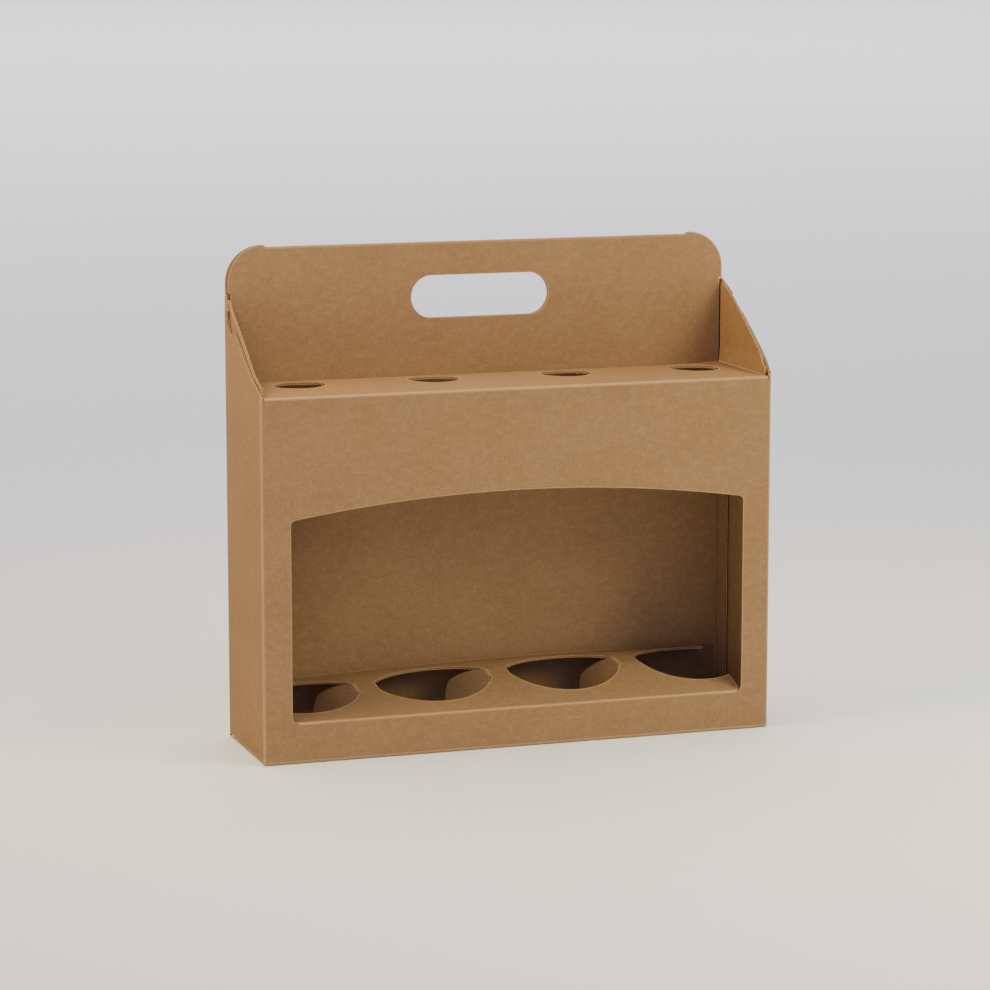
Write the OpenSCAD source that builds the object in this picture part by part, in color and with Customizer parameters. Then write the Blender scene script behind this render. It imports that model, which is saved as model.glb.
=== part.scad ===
// Carrier box for four bottles in a row, folded from one sheet of kraft micro-flute board.
// Millimetres, +Z up, front towards -Y, origin at the middle of the base.

/* [Carton] */
// Outer width, left to right
carton_w = 360; // [340:1:420]
// Outer depth, front to back
carton_d = 92; // [88:1:110]
// Height of the front panel, up to the top face of the neck shelf
front_h = 245; // [225:1:260]
// Height of the folded top edge of the back
back_h = 335; // [325:1:360]
// Height of the side panels at their rear tips
side_tip_h = 304; // [290:1:310]
// Height of the side panels above the shelf at the front corner
side_foot_rise = 1; // [0.5:0.5:10]

/* [Board] */
// Thickness of the corrugated board
board = 1.6; // [1.2:0.1:1.8]
// Outer radius of a fold
fold_r = 2.2; // [2:0.1:3]
// Gap between the two layers of the back
layer_gap = 0.4; // [0.3:0.1:1]
// Clearance beside a tucked flap
tuck_gap = 0.6; // [0.4:0.1:1.5]

/* [Window] */
// Plain board left and right of the window
window_margin = 20; // [14:1:40]
// Height of the sill, where the ledge folds inwards
sill_h = 27.5; // [22:0.5:34]
// Height where the arched top springs from the sides
spring_h = 163; // [140:1:180]
// Rise of the arch above its springing
arch_rise = 13; // [6:1:20]
// Radius of the lower corners
window_r = 6; // [2:0.5:8]
// Length by which the sill fold stops short of the window's sides
sill_relief = 7.5; // [4.5:0.5:12]

/* [Handle] */
// Width of the hand slot
slot_w = 99; // [80:1:120]
// Height of the hand slot
slot_h = 29; // [22:1:34]
// Distance from the top fold down to the middle of the slot
slot_drop = 37.5; // [32:0.5:50]
// Radius of the rounded top corners
corner_r = 25; // [12:1:30]
// Rise of the cut corners above the top fold
ear_rise = 1.2; // [0.6:0.1:3]
// Length of the straight run between a cut corner and the fold
ear_run = 2.5; // [1:0.5:8]
// Inset of the handle's upright edges from the side panels
handle_inset = 0.8; // [0.4:0.1:3]
// Extra inset of the inner layer's upright edges
layer_inset = 1.2; // [0.4:0.1:3]

/* [Neck shelf] */
// Diameter of a neck hole
neck_d = 35; // [30:0.5:42]
// Spacing of the bottles
bottle_pitch = 94; // [86:1:98]
// Number of bottles
bottle_count = 4; // [4]
// Gap between the shelf and the back
shelf_gap = 1; // [0.5:0.1:3]
// Gap at the fold between the front panel and the shelf
hinge_gap = 0.3; // [0.2:0.1:0.5]
// Distance of the end flaps behind the front fold
shelf_relief = 2.5; // [1.5:0.5:8]
// Rise of the end flaps' rear tips above the side panels' edges
flap_rise = 1.2; // [0:0.1:3]
// Length of the cut corner at an end flap's rear tip
flap_tip_cut = 2; // [1:0.5:12]

/* [Thumb notches] */
// Radius of the notch in each side panel's sloped edge
notch_r = 26; // [12:1:40]
// Depth of the notch
notch_depth = 2.2; // [1:0.1:4]
// Distance of the notch in front of the back
notch_y = 25; // [18:1:40]

/* [Bottle ledge] */
// Distance of the ledge's crease behind the front
crease_run = 42.8; // [40:0.2:46]
// Height of the crease above the sill
crease_rise = 12.3; // [4:0.1:16]
// Height of the ledge's rear edge above the crease
rear_rise = 1.6; // [0:0.1:6]
// Width of a bottle hole
hole_w = 80; // [70:1:84]
// Length of plain ledge in front of a hole, along the board
hole_front = 17; // [10:0.5:24]
// Length of a hole along the board
hole_len = 57.5; // [50:0.5:66]
// Radius of a hole's front arc
hole_front_r = 42; // [42:0.5:60]
// Radius of a hole's rear arc
hole_rear_r = 56; // [46:1:90]
// Clearance at the ledge's ends and rear edge
ledge_gap = 1.2; // [0.8:0.1:3]

/* [Separator tabs] */
// Reach of a tab into its hole
tab_reach = 36; // [20:1:40]
// Angle by which a tab is pressed down
tab_angle = 32; // [15:1:38]
// Clearance between a tab and the rim of its hole
tab_kerf = 1.2; // [0.8:0.1:3]

/* [Glue flap] */
// Width of the glue flap inside the right side panel
glue_w = 20; // [14:1:30]
// Length by which the glue flap's ends are tapered
glue_taper = 10; // [4:1:20]
// Step from the back to the right side panel's rear edge
seam_step = 1.2; // [0.8:0.1:2]
// Thickness of the line of glue in the seam
glue_line = 0.3; // [0.3:0.1:0.6]

/* [Bottom] */
// Length of the inner bottom flaps at the two ends
inner_flap = 44; // [25:1:60]
// Gap between the two outer bottom flaps
bottom_gap = 1; // [0.4:0.1:3]
// Inset of the outer bottom flaps' ends behind the side folds
bottom_inset = 0.6; // [0.4:0.1:3]

/* [Hidden] */
$fn = 96;
kraft = "#a9835a";
shelf_kraft = "#b08a5c";

half_w = carton_w / 2;
half_d = carton_d / 2;
fold_in = fold_r - board;
fold_steps = 6;
fold_lap = min(side_foot_rise, shelf_relief) / 2;
beyond = 2 * carton_w;
foot_h = front_h + side_foot_rise;
side_slope = (side_tip_h - foot_h) / carton_d;
slope_angle = atan(side_slope);

window_half = half_w - window_margin;
arch_r = (window_half * window_half + arch_rise * arch_rise) / (2 * arch_rise);
arch_top = spring_h + arch_rise;
slot_z = back_h - slot_drop;

back_in = half_d - board;
layer_out = back_in - layer_gap;
layer_in = layer_out - board;
top_fold_r = board + layer_gap / 2;
top_fold_y = half_d - top_fold_r;
handle_half = half_w - handle_inset;
top_fold_half = handle_half - corner_r - ear_run;

// The ledge is drawn flat, then its two sections are tilted about the sill and the crease.
ledge_half = window_half - ledge_gap;
front_tilt = atan(crease_rise / crease_run);
front_len = sqrt(crease_run * crease_run + crease_rise * crease_rise);
rear_run = carton_d - crease_run - board - ledge_gap;
rear_tilt = atan(rear_rise / rear_run);
sill_tangent = fold_r * tan((90 - front_tilt) / 2);
ledge_rear_h = sill_h + crease_rise + rear_rise;
layer_foot_h = ledge_rear_h + layer_gap;

// The inner layer of the back stands beside the glue flap, and the shelf's end flaps stand above it.
layer_half = half_w - 2 * board - tuck_gap;
flap_out = half_w - board - tuck_gap;
shelf_half = flap_out - fold_r;
hinge_half = half_w - fold_r - tuck_gap;
shelf_rear = layer_in - shelf_gap;
flap_front = shelf_relief + fold_r - half_d;
flap_rear = shelf_rear - shelf_gap;

function slope_h(y) = foot_h + (y + half_d) * side_slope;
function arc(centre, r, from, to) =
    [for (i = [0:fold_steps]) let (a = from + (to - from) * i / fold_steps) centre + r * [cos(a), sin(a)]];
function under(tilt) = board * [sin(tilt), -cos(tilt)];
function bottle_x(i) = (i - (bottle_count - 1) / 2) * bottle_pitch;

// Profile in Y and Z, run along X about the middle
module along_x(length) rotate([90, 0, 90]) translate([0, 0, -length / 2]) linear_extrude(length) children();

// Profile in X and Z, run along Y from one place to another
module along_y(from, to) translate([0, to, 0]) rotate([90, 0, 0]) linear_extrude(to - from) children();

// Outline in Y and Z, as a board whose inner face lies at x
module board_yz(x) translate([x, 0, 0]) rotate([90, 0, 90]) linear_extrude(board) children();

module mirror_x() {
    children();
    mirror([1, 0, 0]) children();
}

module box(from, to) translate(from) cube(to - from);

module rectangle(from, to) translate(from) square(to - from);

// Section through a fold, between two directions less than half a turn apart
module bend(from, to) {
    middle = (from + to) / 2;
    far = 3 * fold_r;
    intersection() {
        difference() {
            circle(fold_r);
            circle(fold_in);
        }
        polygon([[0, 0], far * [cos(from), sin(from)], far * [cos(middle), sin(middle)], far * [cos(to), sin(to)]]);
    }
}

// Plan of the four walls; the right side panel ends in a cut edge at the back, over the glued fold.
module wall_plan() {
    corner_x = half_w - fold_r;
    corner_y = half_d - fold_r;
    seam_x = half_w - board - fold_r;
    rectangle([-corner_x, -half_d], [corner_x, board - half_d]);
    rectangle([-half_w, -corner_y], [board - half_w, corner_y]);
    rectangle([half_w - board, -corner_y], [half_w, half_d - seam_step]);
    rectangle([half_w - board - glue_line, corner_y - glue_line], [half_w, half_d - seam_step]);
    rectangle([-corner_x, back_in], [seam_x, half_d]);
    translate([-corner_x, -corner_y]) bend(180, 270);
    translate([corner_x, -corner_y]) bend(270, 360);
    translate([-corner_x, corner_y]) bend(90, 180);
    translate([seam_x, corner_y]) bend(0, 90);
}

module window_outline() {
    low = sill_h - sill_tangent;
    rectangle([window_r - window_half, low], [window_half - window_r, spring_h]);
    rectangle([-window_half, low + window_r], [window_half, spring_h]);
    mirror_x() translate([window_half - window_r, low + window_r]) circle(window_r);
    intersection() {
        rectangle([-window_half, spring_h - board], [window_half, arch_top + board]);
        translate([0, arch_top - arch_r]) circle(arch_r, $fn = 360);
    }
}

// What is cut away above the sloped edges of the side panels, with the thumb notches
module above_slope() {
    polygon([[-half_d - board, slope_h(-half_d - board)], [half_d + board, slope_h(half_d + board)],
             [half_d + board, beyond], [-half_d - board, beyond]]);
    translate([half_d - notch_y, slope_h(half_d - notch_y)]) rotate(slope_angle)
        translate([0, notch_r - notch_depth]) circle(notch_r);
}

// Front, sides and back up to the sloped edges, with the window cut out
module walls() {
    wall_foot = board + fold_r;
    difference() {
        translate([0, 0, wall_foot]) linear_extrude(side_tip_h - wall_foot) wall_plan();
        along_x(beyond) above_slope();
        box([fold_r - half_w, -carton_d, front_h - fold_r], [half_w - fold_r, board - half_d, beyond]);
        along_y(-carton_d, board - half_d) window_outline();
        along_y(0, carton_d) hand_slot();
    }
}

// Outer bottom flaps from the front and back, and inner ones from the sides
module bottom() {
    corner_x = half_w - fold_r;
    corner_y = half_d - fold_r;
    run = 2 * (corner_x - bottom_inset);
    for (turn = [0, 180]) rotate(turn) {
        along_x(run) {
            translate([-corner_y, fold_r]) bend(180, 270);
            rectangle([-corner_y, 0], [-bottom_gap / 2, board]);
            rectangle([-half_d, fold_r], [board - half_d, board + fold_r]);
        }
        along_y(-corner_y, corner_y) {
            translate([corner_x, board + fold_r]) bend(270, 360);
            rectangle([corner_x - inner_flap, board], [corner_x, 2 * board]);
        }
    }
}

// One layer of the back above a height, with its rounded and slightly raised top corners
module handle_outline(half, foot) {
    corner = half - corner_r;
    top = back_h + ear_rise;
    difference() {
        union() {
            rectangle([-half, foot], [half, top - corner_r]);
            rectangle([-corner, foot], [corner, top]);
            mirror_x() translate([corner, top - corner_r]) circle(corner_r);
        }
        rectangle([-top_fold_half, back_h - top_fold_r], [top_fold_half, top + board]);
    }
}

module hand_slot() {
    end = (slot_w - slot_h) / 2;
    rectangle([-end, slot_z - slot_h / 2], [end, slot_z + slot_h / 2]);
    mirror_x() translate([end, slot_z]) circle(d = slot_h);
}

// The back's outer layer above the side tips, the fold along the top, and the inner layer
module back_layers() {
    neck_half = handle_half - 2 * fold_r;
    along_y(back_in, half_d) difference() {
        union() {
            handle_outline(handle_half, side_tip_h + tuck_gap);
            rectangle([-neck_half, side_tip_h - fold_r], [neck_half, side_tip_h + fold_r]);
        }
        hand_slot();
    }
    along_x(2 * top_fold_half) translate([top_fold_y, back_h - top_fold_r]) intersection() {
        difference() {
            circle(top_fold_r);
            circle(layer_gap / 2);
        }
        rectangle([-top_fold_r, 0], [top_fold_r, top_fold_r]);
    }
    along_y(layer_in, layer_out) difference() {
        union() {
            handle_outline(handle_half - layer_inset, side_tip_h);
            rectangle([-layer_half, layer_foot_h], [layer_half, side_tip_h + board]);
        }
        hand_slot();
    }
}

// Glue flap behind the right side panel, up to the shelf, with tapered ends
module glue_flap() {
    rear = half_d - fold_r;
    front = rear - glue_w;
    low = 2 * board + tuck_gap;
    high = front_h - 2 * fold_r;
    board_yz(half_w - 2 * board) polygon([[rear, low], [rear, high], [front, high - glue_taper],
        [front, low + glue_taper]]);
}

// Outline of one bottle hole, in the flat ledge
module hole_outline() intersection() {
    rectangle([-hole_w / 2, 0], [hole_w / 2, 2 * hole_len]);
    translate([0, hole_front + hole_front_r]) circle(hole_front_r);
    translate([0, hole_front + hole_len - hole_rear_r]) circle(hole_rear_r);
}

// Section through the ledge: the fold at the sill, the rising front and the nearly level rear
module ledge_profile() {
    centre = [fold_r - half_d, sill_h - sill_tangent];
    crease = [crease_run - half_d, sill_h + crease_rise];
    rear = crease + [rear_run, rear_rise];
    crease_tilt = (front_tilt + rear_tilt) / 2;
    polygon(concat(arc(centre, fold_r, 180, 90 + front_tilt),
        [crease, rear, rear + under(rear_tilt), crease + under(crease_tilt)],
        arc(centre, fold_in, 90 + front_tilt, 180)));
}

// The bottle holes between two distances along the flat ledge
module hole_cutters(from, to) translate([0, 0, -2 * board]) linear_extrude(3 * board) intersection() {
    rectangle([-half_w, from], [half_w, to]);
    for (i = [0:bottle_count - 1]) translate([bottle_x(i), 0]) hole_outline();
}

// Round-ended tab pressed down into the hole on its left, to keep two bottles apart
module separator_tab() {
    hinge_x = hole_w / 2;
    hinge_y = front_len + 2 * board;
    front_y = hole_front + hole_front_r;
    rear_y = hole_front + hole_len - hole_rear_r;
    translate([hinge_x, 0, 0]) rotate([0, -tab_angle, 0]) translate([-hinge_x, 0, -board])
        linear_extrude(board) intersection() {
            hole_outline();
            translate([0, rear_y]) circle(hole_rear_r - tab_kerf);
            translate([hinge_x, hinge_y]) circle(tab_reach);
            union() {
                rectangle([0, hinge_y], [hinge_x, 2 * hole_len]);
                translate([0, front_y]) circle(hole_front_r - 2 * tab_kerf);
            }
        }
}

// Ledge folded in at the sill, with a crease across the middle of its holes
module ledge() {
    fold_end = window_half - sill_relief;
    relief_y = sill_relief - half_d;
    difference() {
        along_x(2 * ledge_half) ledge_profile();
        translate([0, -half_d, sill_h]) rotate([front_tilt, 0, 0]) hole_cutters(0, front_len);
        on_rear_section() hole_cutters(front_len, carton_d);
        mirror_x() {
            box([fold_end, -carton_d, 0], [half_w, relief_y - sill_relief / 2, front_h]);
            translate([fold_end + sill_relief / 2, relief_y - sill_relief / 2, 0])
                cylinder(h = front_h, d = sill_relief);
        }
    }
    on_rear_section() for (i = [0:bottle_count - 2]) translate([bottle_x(i), 0, 0]) separator_tab();
}

// Places the flat ledge so that its rear section lies as folded
module on_rear_section() translate([0, crease_run - half_d, sill_h + crease_rise]) rotate([rear_tilt, 0, 0])
    translate([0, -front_len, 0]) children();

// Half of the fold between the front panel and the neck shelf, with a short run into its panel
module hinge_half_fold(from, to) along_x(2 * hinge_half) translate([fold_r - half_d, front_h - fold_r]) {
    difference() {
        bend(from, to);
        rotate(135) translate([0, -hinge_gap / 2]) square([2 * fold_r, hinge_gap]);
    }
    children();
}

module carton() color(kraft) {
    walls();
    bottom();
    back_layers();
    glue_flap();
    ledge();
    hinge_half_fold(135, 180) rectangle([-fold_r, -fold_lap], [-fold_in, 0]);
}

module end_flap() {
    foot = front_h - board + fold_r;
    tip = flap_rear - flap_tip_cut;
    board_yz(flap_out - board) polygon([[flap_front, foot], [flap_rear, foot],
        [flap_rear, slope_h(tip) + flap_rise - flap_tip_cut / 2], [tip, slope_h(tip) + flap_rise],
        [flap_front + shelf_relief, slope_h(flap_front + shelf_relief)], [flap_front, foot + side_foot_rise]]);
    along_y(flap_front, flap_rear) translate([shelf_half, foot]) {
        bend(270, 360);
        rectangle([-fold_lap, -fold_r], [0, -fold_in]);
        rectangle([fold_in, 0], [fold_r, fold_lap]);
    }
}

module neck_shelf() color(shelf_kraft) {
    hinge_half_fold(90, 135) rectangle([0, fold_in], [fold_lap, fold_r]);
    translate([0, 0, front_h - board]) linear_extrude(board) difference() {
        union() {
            rectangle([-hinge_half, fold_r - half_d], [hinge_half, flap_front - shelf_relief / 2]);
            rectangle([-shelf_half, fold_r - half_d], [shelf_half, shelf_rear]);
        }
        for (i = [0:bottle_count - 1]) translate([bottle_x(i), 0]) circle(d = neck_d);
    }
    mirror_x() end_flap();
}

carton();
neck_shelf();
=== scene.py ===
"""Looks of a folded kraft board carrier box for a row of bottles.

The box is built as the real one is: every panel is drawn flat, cut with its holes, bent along its
creases and given the thickness of the board. Flat sizes are in millimetres, with +Z up and the front
towards -Y, and the finished meshes are in metres.
"""

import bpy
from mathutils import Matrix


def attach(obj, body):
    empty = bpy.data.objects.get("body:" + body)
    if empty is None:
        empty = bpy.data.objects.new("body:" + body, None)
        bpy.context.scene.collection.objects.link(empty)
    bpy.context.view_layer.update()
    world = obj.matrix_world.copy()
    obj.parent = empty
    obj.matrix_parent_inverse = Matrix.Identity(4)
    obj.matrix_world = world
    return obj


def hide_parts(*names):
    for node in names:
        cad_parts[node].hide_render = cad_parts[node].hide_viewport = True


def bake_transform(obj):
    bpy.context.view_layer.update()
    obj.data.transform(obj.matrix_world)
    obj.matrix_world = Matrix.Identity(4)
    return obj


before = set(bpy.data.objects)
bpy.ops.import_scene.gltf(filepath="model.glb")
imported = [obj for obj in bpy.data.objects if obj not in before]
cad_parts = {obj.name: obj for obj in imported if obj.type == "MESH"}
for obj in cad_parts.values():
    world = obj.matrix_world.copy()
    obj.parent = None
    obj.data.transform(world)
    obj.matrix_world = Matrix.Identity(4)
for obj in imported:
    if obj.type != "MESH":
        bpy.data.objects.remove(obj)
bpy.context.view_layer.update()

import logging
import math
from collections.abc import Callable, Iterable, Sequence
from dataclasses import dataclass, field
from enum import Enum

import bpy
from mathutils import Matrix, Vector
from mathutils.geometry import delaunay_2d_cdt

LOG = logging.getLogger("carrier_box")
METRE = 0.001  # Metres in a millimetre.
UV_UNIT = 100.0  # Millimetres in one unit of the flat coordinates.
SEAM = 0.01  # Distance within which a place counts as lying on a line.
PROBE = 0.01  # Distance over which a surface's direction is measured.
PAST = 5.0  # How far guide lines run past an outline.
WELD = 1e-4  # Distance within which flat points are joined.
SLIVER = 1e-6  # Area under which a triangle is dropped.
MITRE = 0.4  # Least divisor at a sharp corner, which limits how far it runs out.

Flat = tuple[float, float]
Triple = tuple[float, float, float]
Colour = tuple[float, float, float, float]
Loop = list[Flat]
Line = tuple[Flat, Flat]
Surface = Callable[[float, float], Vector]
Test = Callable[[float, float], bool]


class Face(Enum):
    """The kinds of surface on a piece of board, as material indices."""

    LINER = 0
    CUT = 1


@dataclass(frozen=True)
class Board:
    """Sizes shared by every panel of the box."""

    thickness: float = 1.6
    fold_r: float = 2.2
    flute_pitch: float = 2.7
    half_w: float = 180.0
    half_d: float = 46.0
    front_h: float = 245.0
    back_h: float = 335.0
    side_tip_h: float = 304.0
    side_foot_rise: float = 1.0
    layer_gap: float = 0.4
    tuck_gap: float = 0.6

    @property
    def fold_in(self) -> float:
        """Inner radius of a fold."""
        return self.fold_r - self.thickness

    @property
    def foot_h(self) -> float:
        """Height of the side panels at the front corner."""
        return self.front_h + self.side_foot_rise

    @property
    def slope(self) -> float:
        """Rise of the side panels' top edges per unit of depth."""
        return (self.side_tip_h - self.foot_h) / (2 * self.half_d)

    @property
    def layer_half(self) -> float:
        """Half of the inner back's width, beside the glue flap."""
        return self.half_w - 2 * self.thickness - self.tuck_gap

    @property
    def flap_out(self) -> float:
        """Distance of the shelf's end flaps from the middle, at their outer faces."""
        return self.half_w - self.thickness - self.tuck_gap

    @property
    def hinge_half(self) -> float:
        """Half of the length of the front fold."""
        return self.half_w - self.fold_r - self.tuck_gap

    @property
    def layer_in(self) -> float:
        """Place of the back's innermost face."""
        return self.half_d - 2 * self.thickness - self.layer_gap

    def slope_h(self, y: float) -> float:
        """Height of the side panels' sloped edges at a depth."""
        return self.foot_h + (y + self.half_d) * self.slope


BOARD = Board()


def arc(centre: Flat, radius: float, start: float, end: float, steps: int) -> Loop:
    """Points along a circular arc.

    Args:
        centre: Middle of the circle.
        radius: Radius of the circle.
        start: First angle in degrees.
        end: Last angle in degrees.
        steps: Number of equal steps between the two.

    Returns:
        The points in order, both ends included.
    """
    angles = [math.radians(start + (end - start) * i / steps) for i in range(steps + 1)]
    return [(centre[0] + radius * math.cos(a), centre[1] + radius * math.sin(a)) for a in angles]


def ring(centre: Flat, radius: float, steps: int) -> Loop:
    """A whole circle as a closed loop."""
    return arc(centre, radius, 0.0, 360.0, steps)[:-1]


def inside(point: Flat, loops: Sequence[Loop]) -> bool:
    """Whether a point lies inside an outline with holes, by the even-odd rule.

    Args:
        point: The point to test.
        loops: The outline and its holes.

    Returns:
        True where the point lies on the board.
    """
    x, y = point
    odd = False
    for loop in loops:
        for (x0, y0), (x1, y1) in zip(loop, loop[1:] + loop[:1]):
            if (y0 > y) != (y1 > y) and x < x0 + (y - y0) * (x1 - x0) / (y1 - y0):
                odd = not odd
    return odd


def beside(loop: Loop, width: float) -> Loop:
    """A closed outline moved sideways, with its corners kept sharp.

    Args:
        loop: The outline.
        width: Distance to its left, or to its right where negative.

    Returns:
        One moved point for each point of the outline.
    """
    moved: Loop = []
    for before, here, after in zip(loop[-1:] + loop[:-1], loop, loop[1:] + loop[:1]):
        first, second = (Vector((b[1] - a[1], a[0] - b[0])).normalized() * -1.0
                         for a, b in ((before, here), (here, after)))
        shift = (first + second) * width / max(MITRE, 1.0 + first.dot(second))
        moved.append((here[0] + shift.x, here[1] + shift.y))
    return moved


def area(loop: Loop) -> float:
    """Signed area of a closed outline, positive where it runs anticlockwise."""
    return sum(a[0] * b[1] - b[0] * a[1] for a, b in zip(loop, loop[1:] + loop[:1])) / 2

def mirrored(loop: Loop) -> Loop:
    """A line mirrored across the middle of the box, in the opposite order."""
    return [(-u, v) for u, v in loop[::-1]]


def unit(value: float) -> float:
    """A value kept between 0 and 1."""
    return min(1.0, max(0.0, value))


def between(low: float, high: float, steps: int) -> list[float]:
    """Places that divide a length into equal steps, without its ends."""
    return [low + (high - low) * i / steps for i in range(1, steps)]


def rows(places: Iterable[float], low: float, high: float) -> list[Line]:
    """Guide lines along the first flat coordinate, one at each place along the second."""
    return [((low, v), (high, v)) for v in places]


def columns(places: Iterable[float], low: float, high: float) -> list[Line]:
    """Guide lines along the second flat coordinate, one at each place along the first."""
    return [((u, low), (u, high)) for u in places]


def at_start(across: float, along: float) -> bool:
    """Whether a place lies at the start of a flap, where it is folded from another panel."""
    return along < SEAM


@dataclass
class BentPath:
    """The line that a panel's outer face follows in section, from straight runs and bends.

    Attributes:
        start: First point of the line.
        heading: First direction in degrees.
        runs: Pairs of a bend's angle in degrees, 0 for a straight run, and a length or a radius.
    """

    start: Flat
    heading: float
    runs: list[tuple[float, float]]

    def length(self) -> float:
        """Whole length of the line."""
        return sum(self.run_length(run) for run in self.runs)

    @staticmethod
    def run_length(run: tuple[float, float]) -> float:
        """Length of one straight run or bend."""
        angle, size = run
        return size if angle == 0 else abs(math.radians(angle)) * size

    def marks(self) -> list[float]:
        """Adds up the runs.

        Returns:
            The distances at which the runs meet, both ends included.
        """
        places = [0.0]
        for run in self.runs:
            places.append(places[-1] + self.run_length(run))
        return places

    def at(self, distance: float) -> Flat:
        """The point at a distance along the line; beyond the ends it goes on straight.

        Args:
            distance: Distance from the start.

        Returns:
            The point in the plane of the section.
        """
        p, q = self.start
        heading = math.radians(self.heading)
        for index, run in enumerate(self.runs):
            angle, size = run
            whole = self.run_length(run)
            last = index == len(self.runs) - 1
            here = distance if (distance < whole or last) else whole
            if angle == 0:
                p += here * math.cos(heading)
                q += here * math.sin(heading)
            else:
                turn = math.copysign(here / size, angle)
                side = math.copysign(1.0, angle)
                p += side * size * (math.sin(heading + turn) - math.sin(heading))
                q -= side * size * (math.cos(heading + turn) - math.cos(heading))
                heading += turn
            distance -= here
            if distance <= 0:
                break
        return p, q

    def across(self, x: float, distance: float) -> Vector:
        """The place at a distance along the line, for a section in depth and height."""
        return Vector((x, *self.at(distance)))

    def bend_lines(self, steps: int) -> list[float]:
        """Distances of the lines that divide every bend into equal steps.

        Args:
            steps: Number of steps in a right-angled bend.

        Returns:
            The distances in order.
        """
        places: list[float] = []
        marks = self.marks()
        for run, low, high in zip(self.runs, marks, marks[1:]):
            if run[0] != 0:
                count = max(2, round(steps * abs(run[0]) / 90.0))
                places += [low + (high - low) * i / count for i in range(count + 1)]
        return places

    def crease(self, distance: float) -> float:
        """How close a place is to the middle of a bend, from 0 to 1.

        Args:
            distance: Distance from the start.

        Returns:
            1 in the middle of a bend and 0 at its ends and beyond.
        """
        marks = self.marks()
        for run, low, high in zip(self.runs, marks, marks[1:]):
            if run[0] != 0 and low < distance < high:
                return 1.0 - abs(2 * (distance - low) / (high - low) - 1.0)
        return 0.0


@dataclass
class Panel:
    """A piece of board drawn flat, with the surface that it is bent to.

    Attributes:
        outer: Outline of the flat piece.
        point: The outer face's place for two flat coordinates.
        holes: Outlines of the holes.
        guides: Lines that the mesh has to follow, such as those across a bend.
        flip: Whether the board lies on the other side of its outer face.
        along_first: Whether the flutes run along the first flat coordinate.
        crease: How much a place is creased, from 0 to 1.
        shift: Flat offset of the liner's pattern, so that panels differ.
        rim: Width of the pale band along the cut edges.
        seam: Whether a place on the outline goes on into another panel, so that it isn't a cut edge.
    """

    outer: Loop
    point: Surface
    holes: list[Loop] = field(default_factory=list)
    guides: list[Line] = field(default_factory=list)
    flip: bool = False
    along_first: bool = False
    crease: Callable[[float, float], float] = lambda u, v: 0.0
    shift: Flat = (0.0, 0.0)
    rim: float = 0.7
    seam: Test = lambda u, v: False

    def normal(self, u: float, v: float) -> Vector:
        """Measures which way the outer face looks.

        Args:
            u: First flat coordinate.
            v: Second flat coordinate.

        Returns:
            The outward normal.
        """
        across = self.point(u + PROBE, v) - self.point(u - PROBE, v)
        along = self.point(u, v + PROBE) - self.point(u, v - PROBE)
        found = across.cross(along).normalized()
        return -found if self.flip else found

    def triangles(self) -> tuple[list[Flat], list[tuple[int, int, int]]]:
        """Cuts the flat piece into triangles that follow its edges and guides.

        Returns:
            The flat points, and the triangles as indices, turned the same way round.
        """
        points: list[Vector] = []
        edges: list[tuple[int, int]] = []
        loops = [self.outer, *self.holes]
        for loop in loops:
            inward = math.copysign(self.rim, area(loop) if loop is self.outer else -area(loop))
            for line in (loop, beside(loop, inward)):
                first = len(points)
                points += [Vector(p) for p in line]
                edges += [(first + i, first + (i + 1) % len(line)) for i in range(len(line))]
        for start, end in self.guides:
            edges.append((len(points), len(points) + 1))
            points += [Vector(start), Vector(end)]
        found, _, faces, *_ = delaunay_2d_cdt(points, edges, [], 0, WELD)
        flat = [(p.x, p.y) for p in found]
        kept: list[tuple[int, int, int]] = []
        for a, b, c in faces:
            middle = (sum(flat[i][0] for i in (a, b, c)) / 3, sum(flat[i][1] for i in (a, b, c)) / 3)
            if inside(middle, loops):
                turn = area([flat[a], flat[b], flat[c]])
                if abs(turn) > SLIVER:
                    kept.append((a, b, c) if turn > 0 else (a, c, b))
        return flat, kept


def bent_strip(path: BentPath, half: float, point: Surface, steps: int, shift: Flat, seam: Test = at_start,
               flip: bool = True, wear_and_highlight: float = 1.0, taper: float = 0.0) -> Panel:
    """Draws a straight strip of board that follows a bent section.

    Args:
        path: The section.
        half: Half of the strip's width.
        point: The outer face's place, for a place across the strip and a distance along it.
        steps: Number of mesh steps in a right-angled bend.
        shift: Flat offset of the liner's pattern.
        seam: Whether a place on the outline goes on into another panel.
        flip: Whether the board lies on the other side of its outer face.
        wear_and_highlight: How strongly the bends are creased, from 0 to 1, which paints them pale for rubbed liner
            and painted highlight.
        taper: How much each side is drawn in at the far end.

    Returns:
        The panel.
    """
    run, far = path.length(), half - taper
    bends = [s for s in path.bend_lines(steps) if SEAM < s < run - SEAM]
    return Panel([(-half, 0.0), (half, 0.0), (far, run), (-far, run)], point, flip=flip, shift=shift, seam=seam,
                 guides=rows(bends, -half - PAST, half + PAST), crease=lambda x, s: wear_and_highlight * path.crease(s))


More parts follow.
